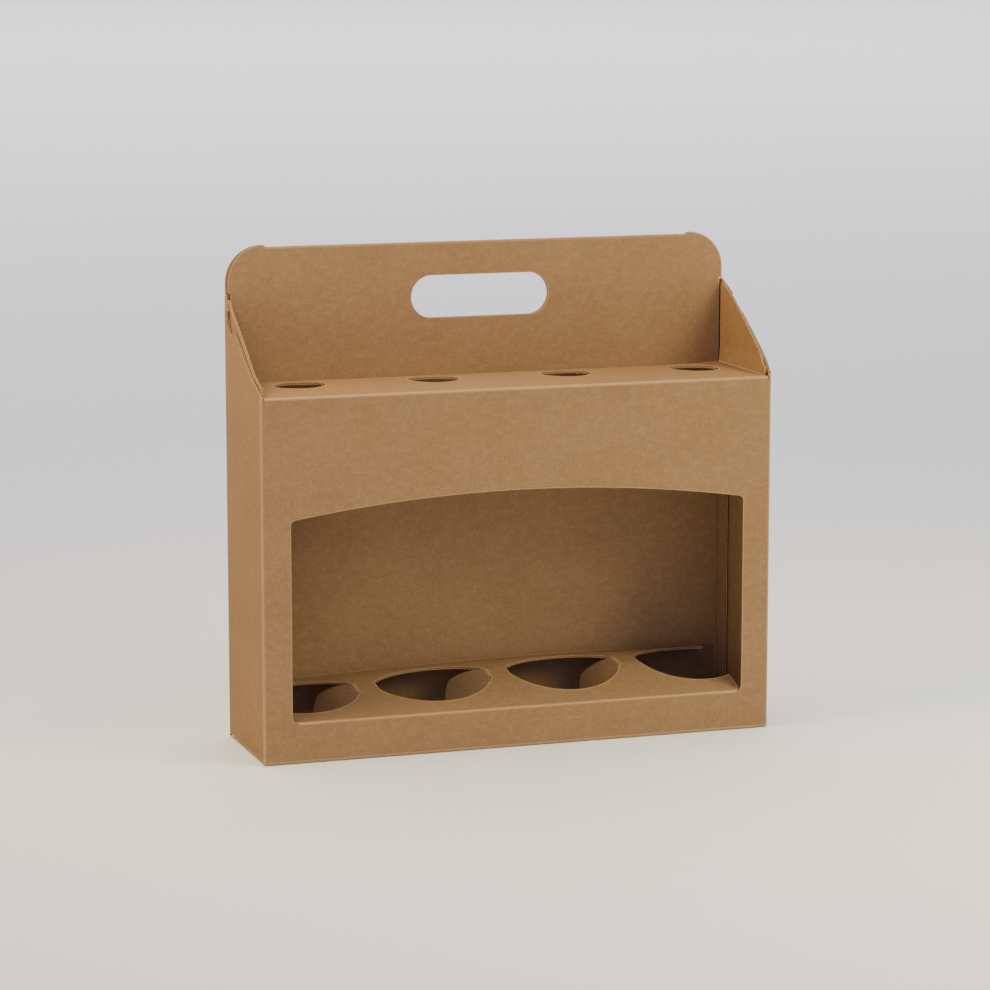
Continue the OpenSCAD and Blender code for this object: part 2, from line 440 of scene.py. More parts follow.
@dataclass
class Fold:
    """Meshes of several panels of board, gathered into one piece.

    Attributes:
        name: Name of the finished piece.
    """

    name: str
    places: list[Vector] = field(default_factory=list)
    depths: list[float] = field(default_factory=list)
    creases: list[float] = field(default_factory=list)
    rims: list[float] = field(default_factory=list)
    faces: list[tuple[int, ...]] = field(default_factory=list)
    kinds: list[Face] = field(default_factory=list)
    flats: list[list[Flat]] = field(default_factory=list)
    normals: list[list[Vector]] = field(default_factory=list)

    def add(self, panel: Panel) -> None:
        """Bends a flat panel to its surface and adds both faces and the cut edges.

        Args:
            panel: The panel to add.
        """
        flat, triangles = panel.triangles()
        used = sorted({i for tri in triangles for i in tri})
        sides = {side for tri in triangles for side in zip(tri, tri[1:] + tri[:1])}
        cuts = sorted((a, b) for a, b in sides if (b, a) not in sides)
        on_cut = {i for side in cuts for i in side}
        upper: dict[int, int] = {}
        lower: dict[int, int] = {}
        outward: dict[int, Vector] = {}
        pattern: dict[int, Flat] = {}
        for i in used:
            u, v = flat[i]
            outward[i] = panel.normal(u, v)
            place = panel.point(u, v)
            crease = panel.crease(u, v)
            pattern[i] = (v + panel.shift[0], u + panel.shift[1]) if panel.along_first else (
                u + panel.shift[0], v + panel.shift[1])
            rim = 1.0 if i in on_cut and not panel.seam(u, v) else 0.0
            upper[i] = self.corner(place, 0.0, crease, rim)
            lower[i] = self.corner(place - outward[i] * BOARD.thickness, 1.0, crease, rim)
        for tri in triangles:
            turned = tri if not panel.flip else (tri[0], tri[2], tri[1])
            back = (turned[0], turned[2], turned[1])
            self.face([upper[i] for i in turned], Face.LINER, [pattern[i] for i in turned],
                      [outward[i] for i in turned])
            self.face([lower[i] for i in back], Face.LINER, [pattern[i] for i in back],
                      [-outward[i] for i in back])
        for side in cuts:
            a, b = side[::-1] if panel.flip else side
            corners = [upper[b], upper[a], lower[a], lower[b]]
            out = (self.places[upper[b]] - self.places[upper[a]]).cross(outward[a]).normalized()
            self.face(corners, Face.CUT, [pattern[b], pattern[a], pattern[a], pattern[b]], [out] * 4)

    def corner(self, place: Vector, depth: float, crease: float, rim: float) -> int:
        """Adds one point.

        Args:
            place: Where it lies.
            depth: 0 on the outer face and 1 on the inner one.
            crease: How much it is creased, from 0 to 1.
            rim: 1 on a cut edge, else 0.

        Returns:
            Its index.
        """
        self.places.append(place)
        self.depths.append(depth)
        self.creases.append(crease)
        self.rims.append(rim)
        return len(self.places) - 1

    def face(self, corners: list[int], kind: Face, flats: list[Flat], normals: list[Vector]) -> None:
        """Adds one face.

        Args:
            corners: Indices of its points.
            kind: Its kind of surface.
            flats: Its corners' flat coordinates.
            normals: Its corners' normals.
        """
        self.faces.append(tuple(corners))
        self.kinds.append(kind)
        self.flats.append(flats)
        self.normals.append(normals)

    def finish(self, finishes: dict[Face, bpy.types.Material]) -> bpy.types.Object:
        """Makes the piece's object.

        Args:
            finishes: The material for each kind of surface.

        Returns:
            The object, linked to the scene.
        """
        mesh = bpy.data.meshes.new(self.name)
        mesh.from_pydata([p * METRE for p in self.places], [], self.faces)
        for kind in Face:
            mesh.materials.append(finishes[kind])
        mesh.polygons.foreach_set("material_index", [k.value for k in self.kinds])
        mesh.polygons.foreach_set("use_smooth", [True] * len(self.faces))
        layer = mesh.uv_layers.new(name="flat")
        corners = [c for face in self.flats for c in face]
        layer.data.foreach_set("uv", [x / UV_UNIT for c in corners for x in c])
        for name, values in (("depth", self.depths), ("crease", self.creases), ("rim", self.rims)):
            mesh.attributes.new(name, "FLOAT", "POINT").data.foreach_set("value", values)
        mesh.normals_split_custom_set([n for face in self.normals for n in face])
        mesh.update()
        piece = bpy.data.objects.new(self.name, mesh)
        bpy.context.scene.collection.objects.link(piece)
        LOG.info("%s: %d faces", self.name, len(self.faces))
        return piece


class Socket:
    """A shader socket that takes part in Python expressions, which add Math nodes."""

    def __init__(self, graph: "Graph", socket: bpy.types.NodeSocket) -> None:
        """Wraps a socket of a graph."""
        self.graph = graph
        self.socket = socket

    def math(self, operation: str, *others: "Socket | float") -> "Socket":
        """Adds a Math node on this value and others."""
        values = {i: v for i, v in enumerate((self, *others))}
        return self.graph.node("ShaderNodeMath", {"operation": operation}, values)

    def __add__(self, other: "Socket | float") -> "Socket":
        """Sum."""
        return self.math("ADD", other)

    __radd__ = __add__

    def __mul__(self, other: "Socket | float") -> "Socket":
        """Product."""
        return self.math("MULTIPLY", other)

    __rmul__ = __mul__

    def __sub__(self, other: "Socket | float") -> "Socket":
        """Difference."""
        return self.math("SUBTRACT", other)

    def __rsub__(self, other: float) -> "Socket":
        """Difference from a number."""
        return self.graph.node("ShaderNodeMath", {"operation": "SUBTRACT"}, {0: other, 1: self})

    def __gt__(self, other: "Socket | float") -> "Socket":
        """1 where this value is the larger, else 0."""
        return self.math("GREATER_THAN", other)

    def __lt__(self, other: "Socket | float") -> "Socket":
        """1 where this value is the smaller, else 0."""
        return self.math("LESS_THAN", other)

    def sine(self) -> "Socket":
        """Sine of the value."""
        return self.math("SINE")

    def size(self) -> "Socket":
        """Absolute value."""
        return self.math("ABSOLUTE")

    def ramp(self, low: float, high: float) -> "Socket":
        """Smooth step from 0 at low to 1 at high."""
        settings = {"interpolation_type": "SMOOTHSTEP"}
        return self.graph.node("ShaderNodeMapRange", settings, {"Value": self, "From Min": low, "From Max": high})


class Graph:
    """The node tree of one material or of the sky."""

    def __init__(self, owner: bpy.types.Material | bpy.types.World, shader: str) -> None:
        """Takes over a new material or world.

        Args:
            owner: What the nodes belong to.
            shader: Name of its shader node.
        """
        owner.use_nodes = True
        self.owner = owner
        self.tree = owner.node_tree
        self.shader = self.tree.nodes[shader]

    @classmethod
    def material(cls, name: str) -> "Graph":
        """Starts a material with its shader."""
        return cls(bpy.data.materials.new(name), "Principled BSDF")

    def node(self, kind: str, settings: dict | None = None, inputs: dict | None = None,
             output: int | str = 0) -> Socket:
        """Adds a node of any type.

        Args:
            kind: The node's type.
            settings: Its own settings, which are set first.
            inputs: Values or sockets for its inputs, by index or name.
            output: Which output to give back.

        Returns:
            The chosen output.
        """
        made = self.tree.nodes.new(kind)
        for key, value in (settings or {}).items():
            setattr(made, key, value)
        for key, value in (inputs or {}).items():
            if isinstance(value, Socket):
                self.tree.links.new(value.socket, made.inputs[key])
            else:
                made.inputs[key].default_value = value
        return Socket(self, made.outputs[output])

    def mix(self, factor: Socket | float, first: Socket | Colour, second: Socket | Colour) -> Socket:
        """Mixes two colours."""
        return self.node("ShaderNodeMix", {"data_type": "RGBA"}, {0: factor, 6: first, 7: second}, 2)

    def flat(self) -> Socket:
        """The board's flat coordinates."""
        return self.node("ShaderNodeUVMap", {"uv_map": "flat"})

    def flutes(self, flat: Socket) -> Socket:
        """A sine wave across the board's flutes, from -1 to 1."""
        across = self.node("ShaderNodeSeparateXYZ", None, {0: flat})
        return (across * (2 * math.pi * UV_UNIT / BOARD.flute_pitch)).sine()

    def mark(self, name: str) -> Socket:
        """A value that the mesh carries at its points."""
        return self.node("ShaderNodeAttribute", {"attribute_name": name}, None, "Fac")

    def set(self, **values: Socket | float | Colour) -> None:
        """Sets the shader's inputs.

        Args:
            values: Values or sockets by name, with underscores for spaces.
        """
        for name, value in values.items():
            target = self.shader.inputs[name.replace("_", " ")]
            if isinstance(value, Socket):
                self.tree.links.new(value.socket, target)
            else:
                target.default_value = value


@dataclass(frozen=True)
class Grain:
    """A noise pattern on the flat board.

    Attributes:
        scale: Repeats per unit of the flat coordinates, across and along the flutes.
        detail: Number of finer octaves.
        roughness: Strength of the finer octaves.
    """

    scale: Flat
    detail: float
    roughness: float

    def read(self, graph: Graph, flat: Socket) -> Socket:
        """Adds the pattern to a material.

        Args:
            graph: The material's nodes.
            flat: The board's flat coordinates.

        Returns:
            The pattern's value, from 0 to 1.
        """
        stretched = graph.node("ShaderNodeVectorMath", {"operation": "MULTIPLY"}, {0: flat, 1: (*self.scale, 1.0)})
        return graph.node("ShaderNodeTexNoise", None, {"Vector": stretched, "Scale": 1.0, "Detail": self.detail,
                                                       "Roughness": self.roughness})


def srgb(red: int, green: int, blue: int) -> Colour:
    """Turns a screen colour into the linear values that shaders take.

    Args:
        red: Red from 0 to 255.
        green: Green from 0 to 255.
        blue: Blue from 0 to 255.

    Returns:
        The linear colour, opaque.
    """
    parts = (value / 255.0 for value in (red, green, blue))
    return *(p / 12.92 if p <= 0.04045 else ((p + 0.055) / 1.055) ** 2.4 for p in parts), 1.0


@dataclass(frozen=True)
class KraftLiner:
    """Brown kraft paper over flutes: finely fibrous and faintly ribbed, painted paler along creases and cut edges,
    partly for rubbed liner and partly as painted highlight.
    """

    tone: Colour = srgb(145, 110, 75)
    dark: Colour = srgb(132, 98, 65)
    pale: Colour = srgb(166, 129, 91)
    fleck: Colour = srgb(98, 66, 38)
    # Pale colour for rubbed liner and painted highlight, laid on creases and cut edges.
    rubbed_and_highlight: Colour = srgb(202, 164, 118)
    clouds: Grain = Grain((2.2, 2.6), 4.0, 0.6)
    mottle: Grain = Grain((16.0, 21.0), 4.0, 0.65)
    fibres: Grain = Grain((55.0, 330.0), 3.0, 0.62)
    strands: Grain = Grain((420.0, 75.0), 2.0, 0.6)
    specks: Grain = Grain((95.0, 210.0), 1.0, 0.5)
    pulp: Grain = Grain((46.0, 80.0), 4.0, 0.68)
    roughness: float = 0.86
    roughness_spread: float = 0.10
    specular: float = 0.22
    rib_shade: float = 0.03
    rib_bump: float = 0.03
    fibre_bump: float = 0.22
    bump_height: float = 0.0002

    def build(self) -> bpy.types.Material:
        """Makes the material.

        Returns:
            The finished material.
        """
        graph = Graph.material("kraft_liner")
        flat = graph.flat()
        clouds, mottle, fibres, strands, specks, pulp = (grain.read(graph, flat) for grain in (
            self.clouds, self.mottle, self.fibres, self.strands, self.specks, self.pulp))
        ribs = graph.flutes(flat)

        colour = graph.mix(0.2 + 0.6 * clouds.ramp(0.25, 0.75), self.dark, self.tone)
        for pattern, low, high, strength, stain in (
                (mottle, 0.40, 0.72, 0.36, self.pale),
                (fibres, 0.48, 0.74, 0.32, self.pale),
                (strands, 0.52, 0.76, 0.22, self.dark),
                (specks, 0.70, 0.80, 0.40, self.fleck),
                (pulp, 0.48, 0.72, 0.62, self.dark),
                (pulp, 0.52, 0.30, 0.36, self.pale)):
            colour = graph.mix(pattern.ramp(low, high) * strength, colour, stain)
        colour = graph.mix((ribs * 0.5 + 0.5) * self.rib_shade, colour, self.dark)
        # Painted highlight, together with rubbed liner: creases and cut edges turn pale where they would catch the
        # light.
        for name, least, more in (("crease", 0.30, 0.5), ("rim", 0.35, 0.4)):
            colour = graph.mix(graph.mark(name) * (least + more * fibres), colour, self.rubbed_and_highlight)

        height = fibres * 0.5 + strands * 0.3 + mottle * 0.5
        fine = graph.node("ShaderNodeBump", None, {"Strength": self.fibre_bump, "Distance": self.bump_height,
                                                   "Height": height})
        ribbed = graph.node("ShaderNodeBump", None, {"Strength": self.rib_bump, "Distance": self.bump_height,
                                                     "Height": ribs, "Normal": fine})
        graph.set(Base_Color=colour, Roughness=self.roughness + self.roughness_spread * (mottle - 0.5),
                  Normal=ribbed, Specular_IOR_Level=self.specular)
        return graph.owner


@dataclass(frozen=True)
class FlutedCut:
    """A cut edge of the board: two pale liners with the waved middle, and painted shade in the gaps between them."""

    paper: Colour = srgb(206, 168, 122)
    middle: Colour = srgb(182, 141, 97)
    # Painted shade for the air gaps beside the waved middle, where light does not reach.
    channel_shade: Colour = srgb(66, 43, 26)
    fuzz: Grain = Grain((160.0, 160.0), 3.0, 0.65)
    wave_height: float = 0.30
    core_half: float = 0.38
    roughness: float = 0.92
    specular: float = 0.15
    bump: float = 0.5
    bump_height: float = 0.0003

    def build(self) -> bpy.types.Material:
        """Makes the material.

        Returns:
            The finished material.
        """
        graph = Graph.material("fluted_cut_edge")
        flat, depth = graph.flat(), graph.mark("depth")
        wave = graph.flutes(flat) * self.wave_height + 0.5
        in_core = (depth - 0.5).size() < self.core_half
        # Painted shade: the gaps beside the waved middle are darkened, as the cut face itself is flat.
        shaded_gap = (depth - wave).size().ramp(0.08, 0.17) * in_core
        fuzz = self.fuzz.read(graph, flat)
        colour = graph.mix(fuzz.ramp(0.35, 0.7), self.middle, self.paper)
        colour = graph.mix(shaded_gap * (0.75 + 0.25 * fuzz), colour, self.channel_shade)
        bump = graph.node("ShaderNodeBump", None, {"Strength": self.bump, "Distance": self.bump_height,
                                                   "Height": fuzz * 0.4 - shaded_gap})
        graph.set(Base_Color=colour, Roughness=self.roughness, Normal=bump, Specular_IOR_Level=self.specular)
        return graph.owner


@dataclass
class Handle:
    """Outlines of the back's upper part, which is a handle with a hand slot.

    The back's two layers stand up in an ear at each rounded corner, beside the fold along the top.
    """

    slot_w: float = 99.0
    slot_h: float = 29.0
    slot_drop: float = 37.5
    corner_r: float = 25.0
    ear_rise: float = 1.2
    ear_run: float = 2.5
    ear_steps: tuple[Flat, ...] = ((1.3, 0.1), (0.3, 0.8), (0.1, 1.5))
    inset: float = 0.8
    layer_inset: float = 1.2

    @property
    def half(self) -> float:
        """Half of the outer layer's width."""
        return BOARD.half_w - self.inset

    @property
    def fold_radius(self) -> float:
        """Outer radius of the fold along the top."""
        return BOARD.thickness + BOARD.layer_gap / 2

    @property
    def fold_half(self) -> float:
        """Half of the length of the fold along the top."""
        return self.half - self.corner_r - self.ear_run

    def crown(self, half: float) -> Loop:
        """Draws the top of one layer, from the right shoulder over both ears to the left shoulder.

        Args:
            half: Half of the layer's width.

        Returns:
            Places across the back and heights, open between the shoulders.
        """
        top = BOARD.back_h + self.ear_rise
        right = arc((half - self.corner_r, top - self.corner_r), self.corner_r, 0, 88, 22)
        right += [(self.fold_half + run, top - drop) for run, drop in self.ear_steps]
        right.append((self.fold_half, BOARD.back_h - self.fold_radius))
        return right + mirrored(right)

    def slot(self) -> Loop:
        """Draws the hand slot.

        Returns:
            Places across the back and heights.
        """
        middle, r = BOARD.back_h - self.slot_drop, self.slot_h / 2
        end = self.slot_w / 2 - r
        return [*arc((end, middle), r, -90, 90, 28), *arc((-end, middle), r, 90, 270, 28)]


@dataclass
class SideWalls:
    """The strip of walls: right side, front with its window, left side, back with the handle, glue flap.

    The strip is flat in the distance round the box and the height.
    """

    window_margin: float = 20.0
    sill_h: float = 27.5
    spring_h: float = 163.0
    arch_rise: float = 13.0
    window_r: float = 6.0
    arch_corner_r: float = 3.5
    seam_step: float = 1.2
    glue_w: float = 20.0
    glue_taper: float = 10.0
    glue_lift: float = 1.0
    bottom_inset: float = 0.6
    corner_foot: float = 0.7
    notch_r: float = 11.0
    notch_depth: float = 8.5
    notch_y: float = 25.0
    slit: float = 0.1
    bulge: float = 2.2
    bulge_front: float = 22.0
    bulge_rear: float = 18.0
    bulge_low: float = 120.0
    bulge_rise: float = 150.0
    bend_steps: int = 8
    edge_stops: tuple[float, ...] = (5.0, -5.0, -15.0, -25.0, -33.0, -39.0)
    side_rows: tuple[float, ...] = (120.0, 145.0, 170.0, 195.0, 215.0, 235.0, 255.0, 275.0)
    side_columns: int = 8
    column_foot: float = 100.0

    def __post_init__(self) -> None:
        """Lays out the strip's runs round the box."""
        side_front = BOARD.half_d - BOARD.fold_r
        corner_x = BOARD.half_w - BOARD.fold_r
        right_angle = (-90.0, BOARD.fold_r)
        self.path = BentPath((BOARD.half_w, BOARD.half_d - self.seam_step), -90.0, [
            (0.0, BOARD.half_d - self.seam_step + side_front), right_angle,
            (0.0, 2 * corner_x), right_angle,
            (0.0, 2 * side_front), right_angle,
            (0.0, 2 * corner_x - BOARD.thickness), right_angle,
            (0.0, self.glue_w)])
        marks = self.path.marks()
        self.right_end, self.front_start, self.front_end = marks[1:4]
        self.left_start, self.left_end, self.back_start, self.back_end = marks[4:8]
        self.glue_start, self.strip_end = marks[8:10]
        self.corner_x, self.side_front = corner_x, side_front

    @property
    def seam_h(self) -> float:
        """Height of the side panels' rear tips, above which the back stays flat."""
        return BOARD.slope_h(BOARD.half_d - self.seam_step)

    @property
    def foot(self) -> float:
        """Height of the side panels' lower edges, where the inner bottom flaps are folded off."""
        return BOARD.thickness + BOARD.fold_r

    @property
    def window_half(self) -> float:
        """Half of the window's width."""
        return BOARD.half_w - self.window_margin

    @property
    def window_low(self) -> float:
        """Height of the window's lower edge, under the fold of the ledge."""
        tilt = math.atan(Ledge.crease_rise / Ledge.crease_run)
        return self.sill_h - BOARD.fold_r * math.tan((math.pi / 2 - tilt) / 2)

    def on_front(self, x: float) -> float:
        """Distance along the strip of a place on the front."""
        return self.front_start + self.corner_x - x

    def on_right(self, y: float) -> float:
        """Distance along the strip of a place on the right side."""
        return BOARD.half_d - self.seam_step - y

    def on_left(self, y: float) -> float:
        """Distance along the strip of a place on the left side."""
        return self.left_start + y + self.side_front

    def on_back(self, x: float) -> float:
        """Distance along the strip of a place on the back."""
        return self.back_start + x + self.corner_x

    def on_side(self, s: float) -> bool:
        """Whether a distance along the strip lies on a side panel."""
        return s < self.right_end or self.left_start < s < self.left_end

    def sloped_edge(self) -> Loop:
        """Draws the sloped edge of a side panel, with the thumb notch in it.

        Returns:
            Depths and heights from the rear tip to the front fold.
        """
        angle = math.degrees(math.atan(BOARD.slope))
        y0 = BOARD.half_d - self.notch_y
        rise = self.notch_r - self.notch_depth
        turn = math.radians(angle)
        centre = (y0 - rise * math.sin(turn), BOARD.slope_h(y0) + rise * math.cos(turn))
        spread = math.degrees(math.acos(rise / self.notch_r))
        notch = arc(centre, self.notch_r, angle - 90 + spread, angle - 90 - spread, 18)
        rear, *stops = ((y, BOARD.slope_h(y)) for y in (self.side_front, *self.edge_stops, -self.side_front))
        return [rear, *notch, *stops]

    def window(self) -> Loop:
        """Draws the window with its arched top.

        Returns:
            Places across the front and heights.
        """
        half, low, r, top_r = self.window_half, self.window_low, self.window_r, self.arch_corner_r
        arch_r = (half * half + self.arch_rise ** 2) / (2 * self.arch_rise)
        arch_z = self.spring_h + self.arch_rise - arch_r
        spread = math.degrees(math.asin((half - top_r) / (arch_r - top_r)))
        corner_z = arch_z + math.sqrt((arch_r - top_r) ** 2 - (half - top_r) ** 2)
        right = arc((half - r, low + r), r, -90, 0, 8)
        right += arc((half - top_r, corner_z), top_r, 0, 90 - spread, 6)
        arch = arc((0.0, arch_z), arch_r, 90 - spread, 90 + spread, 48)
        return [*right, *arch[1:-1], *mirrored(right)]

    def outline(self, handle: Handle) -> Loop:
        """Draws the strip, along its foot and back along its top.

        Args:
            handle: The back's upper part.

        Returns:
            The closed outline without the window and the hand slot.
        """
        foot, corner, low, inset = self.foot, self.corner_foot, BOARD.fold_r, self.bottom_inset
        loop = [(0.0, foot)]
        for before, start, end, after in ((self.right_end, self.front_start, self.front_end, self.left_start),
                                          (self.left_end, self.back_start, self.back_end, self.glue_start)):
            loop += [(before, foot), (before, corner), (start + inset, corner), (start + inset, low),
                     (end - inset, low), (end - inset, corner), (after, corner), (after, foot)]
        glue_top = BOARD.front_h - 2 * BOARD.fold_r
        loop += [(self.strip_end, foot + self.glue_taper), (self.strip_end, glue_top - self.glue_taper),
                 (self.glue_start, glue_top), (self.glue_start, BOARD.slope_h(self.side_front))]
        tip, shoulder = self.seam_h - self.slit, self.seam_h + self.slit
        loop += [(self.back_end, tip), (self.back_end, shoulder), (self.on_back(handle.half), shoulder)]
        loop += [(self.on_back(x), z) for x, z in handle.crown(handle.half)]
        loop += [(self.on_back(-handle.half), shoulder), (self.back_start, shoulder), (self.back_start, tip)]
        edge = self.sloped_edge()
        loop += [(self.on_left(y), z) for y, z in edge]
        top = BOARD.front_h - BOARD.fold_r
        loop += [(self.front_end, BOARD.foot_h), (self.front_end, top), (self.front_start, top),
                 (self.front_start, BOARD.foot_h)]
        loop += [(self.on_right(y), z) for y, z in edge[::-1]]
        return [*loop, (0.0, tip)]

    def spring(self, y: float, z: float) -> float:
        """Works out how far a side panel springs outwards near its free edge.

        Args:
            y: Depth.
            z: Height.

        Returns:
            The distance in millimetres, none at the two folds and low down.
        """
        front, rear, rise = (unit(share) for share in (
            (self.side_front + y) / self.bulge_front, (self.side_front - y) / self.bulge_rear,
            (z - self.bulge_low) / self.bulge_rise))
        return self.bulge * front * (2.0 - front) * rear * (2.0 - rear) * rise * rise * (3.0 - 2.0 * rise)

    def point(self, s: float, z: float) -> Vector:
        """Bends the strip round the box.

        Args:
            s: Distance along the strip.
            z: Height.

        Returns:
            The point on the outer face; the handle's shoulders stay flat beside the folds.
        """
        if z > self.seam_h:
            return Vector((s - self.on_back(0.0), BOARD.half_d, z))
        x, y = self.path.at(s)
        if self.on_side(s):
            x += math.copysign(self.spring(y, z), x)
        elif s > self.glue_start:
            x -= self.glue_lift * (s - self.glue_start) / self.glue_w
        return Vector((x, y, z))

    def build(self, fold: Fold, handle: Handle) -> None:
        """Adds the strip of walls to a piece.

        Args:
            fold: The piece to add to.
            handle: The back's upper part.
        """
        tip = self.seam_h
        guides = columns(self.path.bend_lines(self.bend_steps), -PAST, tip - 2 * self.slit)
        for low, high in ((-1.0, self.right_end), (self.left_start, self.left_end)):
            guides += rows(self.side_rows, low, high)
            guides += columns(between(low, high, self.side_columns), self.column_foot, tip)
        holes = [[(self.on_front(x), z) for x, z in self.window()],
                 [(self.on_back(x), z) for x, z in handle.slot()]]
        seams = (self.window_low, BOARD.front_h - BOARD.fold_r, BOARD.back_h - handle.fold_radius)

        def seam(s: float, z: float) -> bool:
            """Whether the strip goes on into another panel, or its sloped edge shows no pale rim."""
            return (z <= self.foot or s > self.strip_end - SEAM or (self.on_side(s) and z > BOARD.foot_h)
                    or any(abs(z - height) < SEAM for height in seams))

        fold.add(Panel(self.outline(handle), self.point, holes, guides, True, seam=seam,
                       crease=lambda s, z: self.path.crease(s) if z < tip else 0.0))


@dataclass
class InnerBack:
    """The fold along the top and the back's inner layer, which hangs behind the bottles."""

    foot_gap: float = 0.3
    foot_steps: int = 20
    shoulder_step: float = 0.8
    # Paleness painted on the top fold, for rubbed liner and painted highlight.
    fold_wear_and_highlight: float = 0.5
    bend_steps: int = 7
    shift: Flat = (40.0, 700.0)

    def build(self, fold: Fold, handle: Handle, ledge: "Ledge") -> None:
        """Adds the fold and the inner layer to a piece.

        Args:
            fold: The piece to add to.
            handle: The outlines of the back's upper part.
            ledge: The ledge, on which the inner layer stands.
        """
        half, wide, step_h = handle.half - handle.layer_inset, BOARD.layer_half, BOARD.side_tip_h
        places = [wide * (2 * i / self.foot_steps - 1) for i in range(self.foot_steps + 1)]
        foot = [(x, ledge.point(x, ledge.far).z + self.foot_gap) for x in places]
        shoulder = step_h + self.shoulder_step
        outline = [*foot, (wide, step_h), (half, shoulder), *handle.crown(half), (-half, shoulder), (-wide, step_h)]
        r, end = handle.fold_radius, handle.fold_half
        fold.add(Panel(outline, lambda x, z: Vector((x, BOARD.layer_in, z)), [handle.slot()], shift=self.shift,
                       seam=lambda x, z: abs(z - BOARD.back_h + r) < SEAM))
        path = BentPath((BOARD.half_d, BOARD.back_h - r), 90.0, [(180.0, r)])
        fold.add(bent_strip(path, end, path.across, self.bend_steps, self.shift, lambda x, s: abs(x) < end,
                            wear_and_highlight=self.fold_wear_and_highlight))


@dataclass
class BottomFlaps:
    """Two outer bottom flaps that meet along the middle, and an inner flap at each end."""

    inner_flap: float = 44.0
    inner_taper: float = 3.0
    gap: float = 1.0
    bend_steps: int = 7
    outer_shift: Flat = (300.0, 50.0)
    inner_shift: Flat = (210.0, 90.0)

    def build(self, fold: Fold, walls: SideWalls) -> None:
        """Adds the four flaps to a piece.

        Args:
            fold: The piece to add to.
            walls: The walls that the flaps are folded from.
        """
        r = BOARD.fold_r
        front = BentPath((-BOARD.half_d, r), -90.0, [(90.0, r), (0.0, BOARD.half_d - r - self.gap / 2)])
        end = BentPath((BOARD.half_w, walls.foot), -90.0, [(-90.0, r), (0.0, self.inner_flap)])
        for sign in (1.0, -1.0):
            def outer(x: float, s: float, sign: float = sign) -> Vector:
                """Place on the front or the rear flap."""
                y, z = front.at(s)
                return Vector((sign * x, sign * y, z))

            def inner(y: float, s: float, sign: float = sign) -> Vector:
                """Place on the right or the left flap."""
                x, z = end.at(s)
                return Vector((sign * x, sign * y, z))

            (across, along), (inner_across, inner_along) = self.outer_shift, self.inner_shift
            fold.add(bent_strip(front, walls.corner_x - walls.bottom_inset, outer, self.bend_steps,
                                (across * sign, along)))
            fold.add(bent_strip(end, walls.side_front, inner, self.bend_steps, (inner_across, inner_along * sign),
                                taper=self.inner_taper))


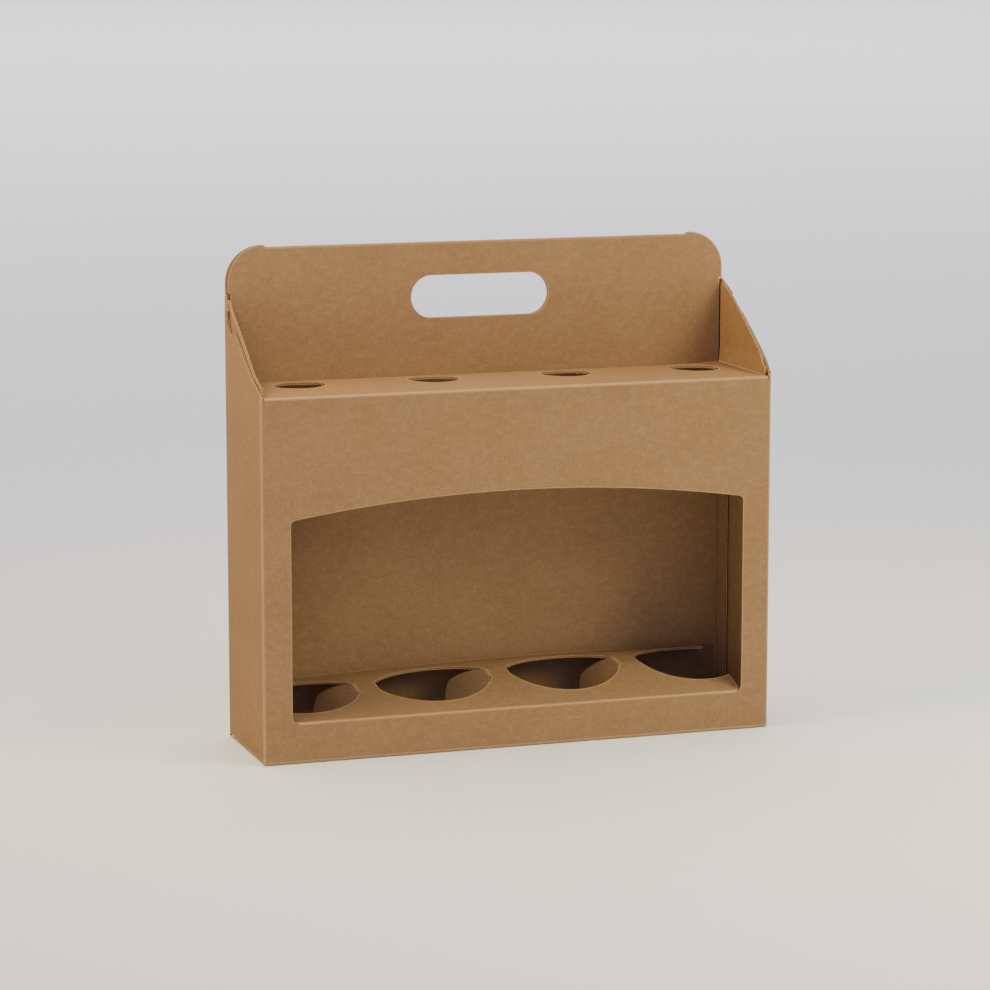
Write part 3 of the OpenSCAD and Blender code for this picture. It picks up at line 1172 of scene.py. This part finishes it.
@dataclass
class Ledge:
    """The bottle ledge: folded in at the sill, creased across its holes, with the separator tabs.

    Lifts are the three terms of a curve across the box, in millimetres and pitches of the bottles, and a
    tab's bends are pairs of a share of its angle, 0 for a straight run, and a radius or a length.
    """

    crease_run: float = 42.8
    crease_rise: float = 12.3
    rear_rise: float = 1.6
    hole_w: float = 80.0
    hole_front: float = 17.0
    hole_len: float = 57.5
    hole_front_r: float = 42.0
    hole_rear_r: float = 56.0
    end_gap: float = 0.5
    rear_gap: float = 1.2
    sill_relief: float = 7.5
    bottle_pitch: float = 94.0
    bottle_count: int = 4
    tab_reach: float = 36.0
    tab_angles: tuple[float, ...] = (32.0, 32.0, 50.0)
    tab_bends: tuple[Flat, ...] = ((0.72, 4.0), (0.0, 6.0), (0.5, 60.0), (0.0, 60.0))
    tab_kerf: float = 0.4
    tab_neck: float = 0.3
    # Paleness painted along each tab's hinge, for rubbed liner and painted highlight, out to the reach below.
    tab_wear_and_highlight: float = 0.5
    tab_pale_reach: float = 1.7
    tab_rows: tuple[float, ...] = (0.4, 0.8, 1.2, 1.6, 4.0, 7.6, 10.0, 14.0, 18.0, 22.0, 26.0, 30.0)
    crease_lift: Triple = (0.5, 3.4, -1.0)
    rear_lift: Triple = (0.3, 1.4, -1.1)
    lift_limit: float = 1.4
    arch: float = 2.4
    crease_r: float = 3.0
    # Share of the painted paleness (rubbed liner and painted highlight) given to the crease across the holes.
    crease_wear_and_highlight: float = 0.45
    rim: float = 1.3

    def lay_out(self, walls: SideWalls) -> None:
        """Works out the ledge's section.

        Args:
            walls: The walls whose sill the ledge is folded from.
        """
        rear_run = 2 * BOARD.half_d - self.crease_run - BOARD.thickness - self.rear_gap
        rear_len = math.hypot(rear_run, self.rear_rise)
        front_tilt = math.degrees(math.atan(self.crease_rise / self.crease_run))
        turn = front_tilt - math.degrees(math.atan(self.rear_rise / rear_run))
        ease = self.crease_r * math.tan(math.radians(turn) / 2)
        self.front_len = math.hypot(self.crease_run, self.crease_rise)
        self.tangent = walls.sill_h - walls.window_low
        self.path = BentPath((-BOARD.half_d, walls.window_low), 90.0, [
            (front_tilt - 90.0, BOARD.fold_r), (0.0, self.front_len - self.tangent - ease),
            (-turn, self.crease_r), (0.0, rear_len - ease)])
        self.bend_run = self.path.marks()[1]
        self.half = walls.window_half - self.end_gap
        self.far = self.front_len + self.path.length() - self.along(self.front_len)

    @property
    def near(self) -> float:
        """Place along the flat ledge where the fold at the sill starts."""
        return self.tangent - self.bend_run

    @property
    def front_mid(self) -> float:
        """Place along the flat ledge of the middle of the holes' front arcs."""
        return self.hole_front + self.hole_front_r

    @property
    def rear_mid(self) -> float:
        """Place along the flat ledge of the middle of the holes' rear arcs."""
        return self.hole_front + self.hole_len - self.hole_rear_r

    def along(self, distance: float) -> float:
        """Distance along the bent section for one along the flat ledge from the sill's sharp edge."""
        return self.bend_run + distance - self.tangent

    def bottle_x(self, index: int) -> float:
        """Place of a bottle across the box."""
        return (index - (self.bottle_count - 1) / 2) * self.bottle_pitch

    def lift(self, x: float, s: float) -> float:
        """Works out how far the sprung ledge is twisted up or down at a place.

        Args:
            x: Place across the box.
            s: Distance along the section.

        Returns:
            The lift in millimetres, none at the sill.
        """
        crease = self.along(self.front_len)
        place = max(-self.lift_limit, min(self.lift_limit, x / self.bottle_pitch))
        at_crease, at_rear = (a + b * place + c * place * place for a, b, c in (self.crease_lift, self.rear_lift))
        if s < crease:
            return at_crease * max(0.0, (s - self.bend_run) / (crease - self.bend_run))
        share = min(1.0, (s - crease) / (self.path.length() - crease))
        return at_crease + (at_rear - at_crease) * share + self.arch * math.sin(math.pi * share)

    def point(self, x: float, v: float) -> Vector:
        """Bends the ledge along its section.

        Args:
            x: Place across the box.
            v: Distance along the flat ledge from the sill's sharp edge.

        Returns:
            The point on the upper face.
        """
        s = self.along(v)
        y, z = self.path.at(s)
        return Vector((x, y, z + self.lift(x, s)))

    def arcs_at(self, x: float) -> Flat:
        """Places along the flat ledge of a hole's two arcs, at a distance from its middle."""
        return (self.front_mid - math.sqrt(self.hole_front_r ** 2 - x ** 2),
                self.rear_mid + math.sqrt(self.hole_rear_r ** 2 - x ** 2))

    def arcs(self, x0: float) -> tuple[Loop, Loop]:
        """Draws one bottle hole.

        Args:
            x0: Middle of the hole across the box.

        Returns:
            Its front arc from left to right, and its rear arc from right to left.
        """
        low, high = (math.degrees(math.asin(self.hole_w / 2 / r)) for r in (self.hole_front_r, self.hole_rear_r))
        return (arc((x0, self.front_mid), self.hole_front_r, -90 - low, -90 + low, 40),
                arc((x0, self.rear_mid), self.hole_rear_r, 90 - high, 90 + high, 32))

    def outline(self) -> Loop:
        """Draws the flat ledge, with its end holes open at the ends.

        Returns:
            The closed outline without the middle holes.
        """
        end, x0 = self.half, self.bottle_x(self.bottle_count - 1)
        round_r = self.sill_relief - self.end_gap
        front, rear = ([p for p in line if p[0] < end] for line in self.arcs(x0))
        front_end, rear_end = self.arcs_at(end - x0)
        right = [*arc((end - round_r, self.near + round_r), round_r, -90, 0, 10), (end, front_end),
                 *front[::-1], *rear[::-1], (end, rear_end), (end, self.far)]
        return right + mirrored(right)

    def build(self, fold: Fold) -> None:
        """Adds the ledge and its tabs to a piece.

        Args:
            fold: The piece to add to.
        """
        middles = [self.bottle_x(i) for i in range(1, self.bottle_count - 1)]
        holes = [front + rear for front, rear in map(self.arcs, middles)]
        marks = self.path.marks()
        stops = [*self.path.bend_lines(10), *between(marks[1], marks[2], 5), *between(marks[3], marks[4], 6)]
        guides = rows((s + self.near for s in stops), -self.half - PAST, self.half + PAST)
        guides += columns(range(-140, 141, 20), -2 * PAST, self.far + PAST)

        def crease(x: float, v: float) -> float:
            """How pale the fold at the sill and the crease across the holes are painted, for rubbed liner and
            painted highlight.
            """
            s = self.along(v)
            return self.path.crease(s) * (1.0 if s < self.bend_run + 1 else self.crease_wear_and_highlight)

        fold.add(Panel(self.outline(), self.point, holes, guides, crease=crease, shift=(900.0, 0.0), rim=self.rim,
                       seam=lambda x, v: v < self.near + SEAM))
        for i, angle in enumerate(self.tab_angles):
            self.add_tab(fold, self.bottle_x(i), angle)

    def add_tab(self, fold: Fold, x0: float, angle: float) -> None:
        """Adds one separator tab, pressed down about the right side of its hole.

        Args:
            fold: The piece to add to.
            x0: Middle of the hole.
            angle: How far the tab is pressed down, in degrees.
        """
        half = self.hole_w / 2
        hinge_v, rear_v = self.arcs_at(half)
        front_c, rear_c = (0.0, self.front_mid), (0.0, self.rear_mid)
        front_r, rear_r = self.hole_front_r - 2 * self.tab_kerf, self.hole_rear_r - self.tab_kerf
        bend = BentPath((0.0, 0.0), 180.0, [(share * angle, size) for share, size in self.tab_bends])
        low_end, high_end = (self.point(x0 + half, v) for v in (hinge_v, rear_v))

        def point(reach: float, v: float) -> Vector:
            """Place on the tab, for a distance from its hinge and a place along the flat ledge."""
            dx, dz = bend.at(reach)
            return low_end.lerp(high_end, (v - hinge_v) / (rear_v - hinge_v)) + Vector((dx, 0.0, dz))

        def within(p: Flat) -> bool:
            """Whether a place lies inside the hole that the tab is cut from."""
            return (math.dist(p, front_c) < front_r or p[1] > hinge_v) and math.dist(p, rear_c) < rear_r

        neck_v = hinge_v + self.tab_neck - self.front_mid
        low = math.degrees(math.atan2(neck_v, math.sqrt(front_r ** 2 - neck_v ** 2)))
        hinge = (half, hinge_v)
        front = [p for p in arc(front_c, front_r, low, low - 90, 40) if math.dist(p, hinge) < self.tab_reach]
        tip = [p for p in arc(hinge, self.tab_reach, 260, 100, 60) if within(p)]
        rear = [(x, self.rear_mid + math.sqrt(rear_r ** 2 - x ** 2)) for x in between(tip[-1][0], half, 14)]
        loop = [(half - x, v) for x, v in [(half, rear_v), hinge, *front, *tip, *rear]]
        fold.add(Panel(loop, point, guides=columns(self.tab_rows, 0.0, 2 * self.front_len), flip=True,
                       crease=lambda r, v: self.tab_wear_and_highlight if r < self.tab_pale_reach else 0.0,
                       shift=(x0 + 1300.0, 0.0), seam=lambda r, v: r < SEAM))


@dataclass
class NeckShelf:
    """The loading flap: the shelf with its neck holes, slightly sprung up, and its two end flaps."""

    neck_d: float = 35.0
    gap: float = 1.0
    relief: float = 2.5
    rim: float = 1.3
    spring: float = 8.68
    fall: float = -10.08
    end_power: int = 12
    shelf_rows: tuple[float, ...] = (-35.0, -26.0, -17.0, -8.0, 1.0, 10.0, 19.0, 28.0, 35.0)
    shelf_columns: tuple[float, ...] = (-170.0, -164.0, -157.0, -148.0, -130.0, -100.0, -70.0, -40.0, -10.0,
                                        20.0, 50.0, 80.0, 110.0, 136.0, 150.0, 157.0, 164.0, 170.0)
    flap_rise: float = 1.2
    flap_crown: float = 2.0
    flap_lean: float = 0.05
    flap_lean_rise: float = 12.0
    # Paleness painted on the end flaps' folds, for rubbed liner and painted highlight.
    flap_wear_and_highlight: float = 0.7
    flap_rim: float = 0.45
    flap_len: float = 60.0
    flap_column_foot: float = 1.5
    flap_rows: tuple[float, ...] = (4.0, 7.0, 10.0, 13.0, 25.0, 40.0)
    tip_cut: float = 2.0
    tip_round: Flat = (0.5, 0.2)
    knee_run: float = 4.2
    round_run: float = 3.0
    round_low: float = 0.4
    round_high: float = 0.96

    @property
    def half(self) -> float:
        """Half of the shelf's flat width."""
        return BOARD.flap_out - BOARD.fold_r

    @property
    def front(self) -> float:
        """Place of the shelf's front edge, behind the fold."""
        return BOARD.fold_r - BOARD.half_d

    @property
    def rear(self) -> float:
        """Place of the shelf's rear edge."""
        return BOARD.layer_in - self.gap

    def surface(self, x: float, y: float) -> Vector:
        """Bows the shelf up a little between its stiff ends.

        Args:
            x: Place across the box.
            y: Depth.

        Returns:
            The point on the top face.
        """
        share = (y - self.front) / (self.rear - self.front)
        ends = max(0.0, 1.0 - abs(x / self.half) ** self.end_power)
        bow = (self.spring * share + self.fall * share * share) * ends if share > 0 else 0.0
        return Vector((x, y, BOARD.front_h + bow))

    def build(self, fold: Fold, ledge: Ledge, walls: SideWalls) -> None:
        """Adds the shelf and its end flaps to a piece.

        Args:
            fold: The piece to add to.
            ledge: The ledge, which has the bottles' places.
            walls: The walls, against whose sides the end flaps lie.
        """
        front, half, lip, lip_rear = self.front, self.half, BOARD.hinge_half, self.front + self.relief / 2
        right = [(lip, front), (lip, lip_rear), (half, lip_rear), (half, self.rear)]
        holes = [ring((ledge.bottle_x(i), 0.0), self.neck_d / 2, 56) for i in range(ledge.bottle_count)]
        guides = rows(self.shelf_rows, -half - PAST, half + PAST)
        guides += columns(self.shelf_columns, front - PAST, self.rear + PAST)
        fold.add(Panel(right + mirrored(right), self.surface, holes, guides, shift=(0.0, 900.0), rim=self.rim,
                       seam=lambda x, y: y < front + SEAM or abs(x) > half - SEAM))
        self.add_flaps(fold, walls)

    def add_flaps(self, fold: Fold, walls: SideWalls) -> None:
        """Adds the two end flaps, which are turned up beside the side panels.

        Args:
            fold: The piece to add to.
            walls: The walls, against whose sides the flaps lie.
        """
        path = BentPath((self.half, BOARD.front_h), 0.0, [(90.0, BOARD.fold_in), (0.0, self.flap_len)])
        base = BOARD.front_h + BOARD.fold_in
        for sign in (1.0, -1.0):
            def flap(y: float, s: float, sign: float = sign) -> Vector:
                """Place on a flap, which leans out with the sprung side panel."""
                x, z = path.at(s)
                lean = (self.flap_lean + walls.spring(y, z)) * unit((z - base) / self.flap_lean_rise)
                return Vector((sign * (x + lean), y, z))

            guides = rows([*path.bend_lines(7)[1:], *self.flap_rows], -self.flap_len, self.flap_len)
            guides += columns(range(-36, 37, 6), self.flap_column_foot, self.flap_len + 2 * PAST)
            fold.add(Panel(self.flap_outline(path.marks()[1] - base), flap, guides=guides, flip=sign > 0,
                           along_first=True, rim=self.flap_rim, crease=lambda y, s: self.flap_wear_and_highlight * path.crease(s),
                           shift=(500.0 * sign, 0.0), seam=at_start))

    def flap_outline(self, offset: float) -> Loop:
        """Draws an end flap with its crowned slope and its rounded front corner.

        Args:
            offset: Distance along the flat flap at height 0.

        Returns:
            Depths and distances along the flat flap.
        """
        front, rear = self.front + self.relief, self.rear - self.gap
        tip, knee = rear - self.tip_cut, front + self.knee_run
        crest: Loop = []
        for share in (i / 8 for i in range(8, -1, -1)):
            y = knee + (tip - knee) * share
            crown = self.flap_rise * share + 4 * self.flap_crown * share * (1 - share)
            crest.append((y, offset + BOARD.slope_h(y) + crown))
        high, knee_up = crest[0][1], crest[-1][1]
        low = offset + BOARD.front_h + BOARD.fold_in + self.round_low
        corner = [(front + (1 - math.cos(a)) * self.round_run, low + (knee_up - low) * math.sin(a) * self.round_high)
                  for a in (math.pi * i / 14 for i in range(6, -1, -1))]
        in_by, down_by = self.tip_round
        return [(front, 0.0), (rear, 0.0), (rear, high - self.tip_cut / 2), (rear - in_by, high - down_by),
                *crest, *corner]


@dataclass
class FrontFold:
    """The crease between the front panel and the shelf."""

    bend_steps: int = 10
    shift: Flat = (0.0, 240.0)

    def build(self, fold: Fold) -> None:
        """Adds the crease to a piece.

        Args:
            fold: The piece to add to.
        """
        end = BOARD.hinge_half
        path = BentPath((-BOARD.half_d, BOARD.front_h - BOARD.fold_r), 90.0, [(-90.0, BOARD.fold_r)])
        fold.add(bent_strip(path, end, path.across, self.bend_steps, self.shift, lambda x, s: abs(x) < end,
                            flip=False))


def stand(name: str, data: bpy.types.ID, place: Triple, forward: Vector) -> bpy.types.Object:
    """Adds a camera or a light.

    Args:
        name: Its name.
        data: The camera or the light.
        place: Where it stands.
        forward: Which way it looks.

    Returns:
        The object, linked to the scene.
    """
    made = bpy.data.objects.new(name, data)
    bpy.context.scene.collection.objects.link(made)
    turn = forward.to_track_quat("-Z", "Y").to_matrix().to_4x4()
    made.matrix_world = Matrix.Translation(Vector(place)) @ turn
    return made


@dataclass(frozen=True)
class Lamp:
    """A soft square light.

    Attributes:
        name: The light's name.
        place: Where it hangs.
        aim: What it points at.
        size: Its width in metres.
        power: Its power in watts.
        tone: Its colour.
    """

    name: str
    place: Triple
    aim: Triple
    size: float
    power: float
    tone: Triple

    def build(self) -> None:
        """Adds the light to the scene."""
        data = bpy.data.lights.new(self.name, "AREA")
        data.size, data.energy, data.color = self.size, self.power, self.tone
        stand(self.name, data, self.place, Vector(self.aim) - Vector(self.place))


@dataclass
class Studio:
    """Pale floor, soft lights and the camera.

    The sky is cool in front of the box and to its right, and warm behind it and to its left.
    """

    lens: float = 127.8
    sensor: float = 36.0
    clip_end: float = 60.0
    eye: Triple = (-0.7563, -2.2354, 0.5566)
    forward: Triple = (0.3148, 0.9349, -0.1637)
    floor_size: float = 70.0
    floor_z: float = -0.0002
    floor_tone: Colour = (0.94, 0.94, 0.94, 1.0)
    floor_roughness: float = 0.9
    floor_specular: float = 0.1
    cool_tone: Colour = (0.89, 1.0, 1.45, 1.0)
    cool_sky: float = 0.69
    warm_tone: Colour = (1.0, 0.765, 0.4, 1.0)
    warm_sky: float = 0.67
    warm_side: Triple = (-0.6, 0.8, 0.0)
    warm_range: Flat = (-0.1, 0.6)
    lamps: tuple[Lamp, ...] = (
        Lamp("key_light", (0.72, -0.66, 0.78), (0.0, 0.0, 0.15), 0.6, 10.5, (1.0, 0.98, 0.52)),
        Lamp("side_light", (-4.0, -0.35, 2.0), (-0.1, 0.0, 0.2), 2.0, 39.5, (1.0, 0.79, 0.35)),
        Lamp("top_light", (-0.38, -0.06, 0.72), (0.17, 0.0, 0.27), 0.3, 3.7, (1.0, 0.84, 0.42)),
        Lamp("backdrop_light", (3.5, 13.0, 6.0), (3.5, 13.1, 0.0), 19.0, 1930.0, (1.0, 0.98, 0.95)))

    def build(self) -> None:
        """Adds the floor, the sky, the lights and the camera."""
        self.add_floor()
        self.add_sky()
        for lamp in self.lamps:
            lamp.build()
        data = bpy.data.cameras.new("camera")
        data.lens, data.sensor_width, data.sensor_fit = self.lens, self.sensor, "HORIZONTAL"
        data.clip_end = self.clip_end
        bpy.context.scene.camera = stand("camera", data, self.eye, Vector(self.forward))

    def add_floor(self) -> None:
        """Adds a large plain floor, just under the box."""
        half, low = self.floor_size / 2, self.floor_z
        mesh = bpy.data.meshes.new("floor")
        corners = [(x * half, y * half, low) for x, y in ((-1, -1), (1, -1), (1, 1), (-1, 1))]
        mesh.from_pydata(corners, [], [(0, 1, 2, 3)])
        graph = Graph.material("pale_floor")
        graph.set(Base_Color=self.floor_tone, Roughness=self.floor_roughness, Specular_IOR_Level=self.floor_specular)
        mesh.materials.append(graph.owner)
        floor = bpy.data.objects.new("floor", mesh)
        bpy.context.scene.collection.objects.link(floor)

    def add_sky(self) -> None:
        """Adds a sky that goes over from a cool to a warm side."""
        world = bpy.data.worlds.new("studio")
        graph = Graph(world, "Background")
        towards = graph.node("ShaderNodeTexCoord", output="Generated")
        across = graph.node("ShaderNodeVectorMath", {"operation": "DOT_PRODUCT"}, {0: towards, 1: self.warm_side},
                            "Value")
        warm = across.ramp(*self.warm_range)
        graph.set(Color=graph.mix(warm, self.cool_tone, self.warm_tone),
                  Strength=self.cool_sky + warm * (self.warm_sky - self.cool_sky))
        bpy.context.scene.world = world


def main() -> None:
    """Builds the studio and every piece of the box."""
    logging.basicConfig(level=logging.INFO)
    Studio().build()
    finishes = {Face.LINER: KraftLiner().build(), Face.CUT: FlutedCut().build()}
    walls, handle, ledge, shelf = SideWalls(), Handle(), Ledge(), NeckShelf()
    ledge.lay_out(walls)

    folds = {name: Fold(name) for name in ("wall_strip", "inner_back", "bottom_flaps", "bottle_ledge",
                                           "loading_shelf", "front_fold")}
    walls.build(folds["wall_strip"], handle)
    InnerBack().build(folds["inner_back"], handle, ledge)
    BottomFlaps().build(folds["bottom_flaps"], walls)
    ledge.build(folds["bottle_ledge"])
    shelf.build(folds["loading_shelf"], ledge, walls)
    FrontFold().build(folds["front_fold"])

    for name, fold in folds.items():
        piece = fold.finish(finishes)
        if name == "loading_shelf":
            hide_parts("neck_shelf")
            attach(piece, "shelf")
        elif name == "front_fold":
            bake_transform(piece)
        else:
            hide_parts("carton")
            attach(piece, "carton")


if __name__ == "__main__":
    main()
